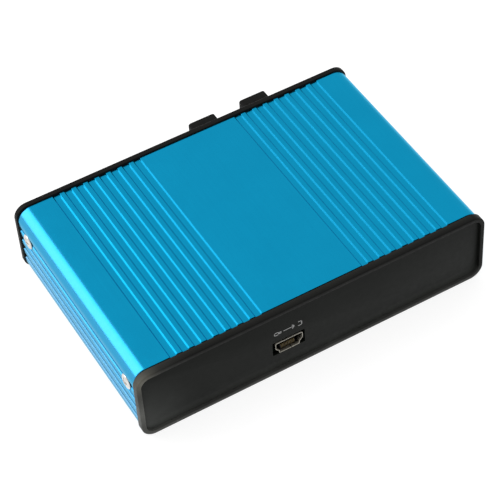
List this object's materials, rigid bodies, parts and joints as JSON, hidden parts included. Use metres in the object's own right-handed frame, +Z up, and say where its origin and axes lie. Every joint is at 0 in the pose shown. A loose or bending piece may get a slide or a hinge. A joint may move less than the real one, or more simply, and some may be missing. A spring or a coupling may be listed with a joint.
{
  "type": "external usb audio adapter",
  "caption": "Flat grooved aluminium box with black moulded ends, a small USB socket in front, and audio jacks and capped optical sockets behind.",
  "frame": {"origin": "on the ground, under the middle of the whole object with its dust caps in place", "axes": "+X right and +Z up seen from the front, which is the USB side and faces -Y; the audio and optical sockets face +Y"},
  "size_m": [0.1002, 0.076, 0.0223],
  "materials": {
    "blue_anodised": "satin blue anodised",
    "moulded_frame": "fine satin",
    "panel_plate": "satin",
    "screw_steel": "bright nickel",
    "socket_steel": "bright plated",
    "socket_moulding": "satin",
    "contact_gold": "gold plated",
    "board_laminate": "solder mask",
    "chip_package": "matt",
    "crystal_can": "bright",
    "capacitor_sleeve": "shrink sleeve",
    "clear_epoxy": "tinted clear",
    "cap_rubber": "matt"
  },
  "bodies": {
    "box": {"audio_controller_chip": "chip_package", "audio_jack_1": "socket_moulding", "audio_jack_2": "socket_moulding", "audio_jack_3": "socket_moulding", "audio_jack_4": "socket_moulding", "audio_jack_5": "socket_moulding", "audio_jack_6": "socket_moulding", "audio_jack_ring_1": "socket_steel", "audio_jack_ring_2": "socket_steel", "audio_jack_ring_3": "socket_steel", "audio_jack_ring_4": "socket_steel", "audio_jack_ring_5": "socket_steel", "audio_jack_ring_6": "socket_steel", "circuit_board": "board_laminate", "clock_crystal": "crystal_can", "front_end_frame": "moulded_frame", "front_panel_plate": "panel_plate", "housing_tube": "blue_anodised", "optical_input_socket": "socket_moulding", "optical_output_socket": "socket_moulding", "optical_receiver_module": "clear_epoxy", "optical_transmitter_module": "clear_epoxy", "output_capacitor_1": "capacitor_sleeve", "output_capacitor_2": "capacitor_sleeve", "output_capacitor_3": "capacitor_sleeve", "output_capacitor_4": "capacitor_sleeve", "output_capacitor_5": "capacitor_sleeve", "output_capacitor_6": "capacitor_sleeve", "output_capacitor_7": "capacitor_sleeve", "output_capacitor_8": "capacitor_sleeve", "rear_end_frame": "moulded_frame", "rear_panel_plate": "panel_plate", "settings_memory_chip": "chip_package", "side_screw_front_left": "screw_steel", "side_screw_front_right": "screw_steel", "side_screw_rear_left": "screw_steel", "side_screw_rear_right": "screw_steel", "supply_capacitor": "capacitor_sleeve", "supply_inductor": "chip_package", "usb_contact_1": "contact_gold", "usb_contact_2": "contact_gold", "usb_contact_3": "contact_gold", "usb_contact_4": "contact_gold", "usb_contact_5": "contact_gold", "usb_line_choke": "chip_package", "usb_socket_insulator": "socket_moulding", "usb_socket_shell": "socket_steel", "voltage_regulator": "chip_package"},
    "input_cap": {"dust_cap_input": "cap_rubber"},
    "output_cap": {"dust_cap_output": "cap_rubber"}
  },
  "joints": [
    {"name": "dust_cap_input_pull", "type": "slide", "parent": "box", "child": "input_cap", "axis": [0, 1, 0], "range_m": [0, 0.012]},
    {"name": "dust_cap_output_pull", "type": "slide", "parent": "box", "child": "output_cap", "axis": [0, 1, 0], "range_m": [0, 0.012]}
  ]
}
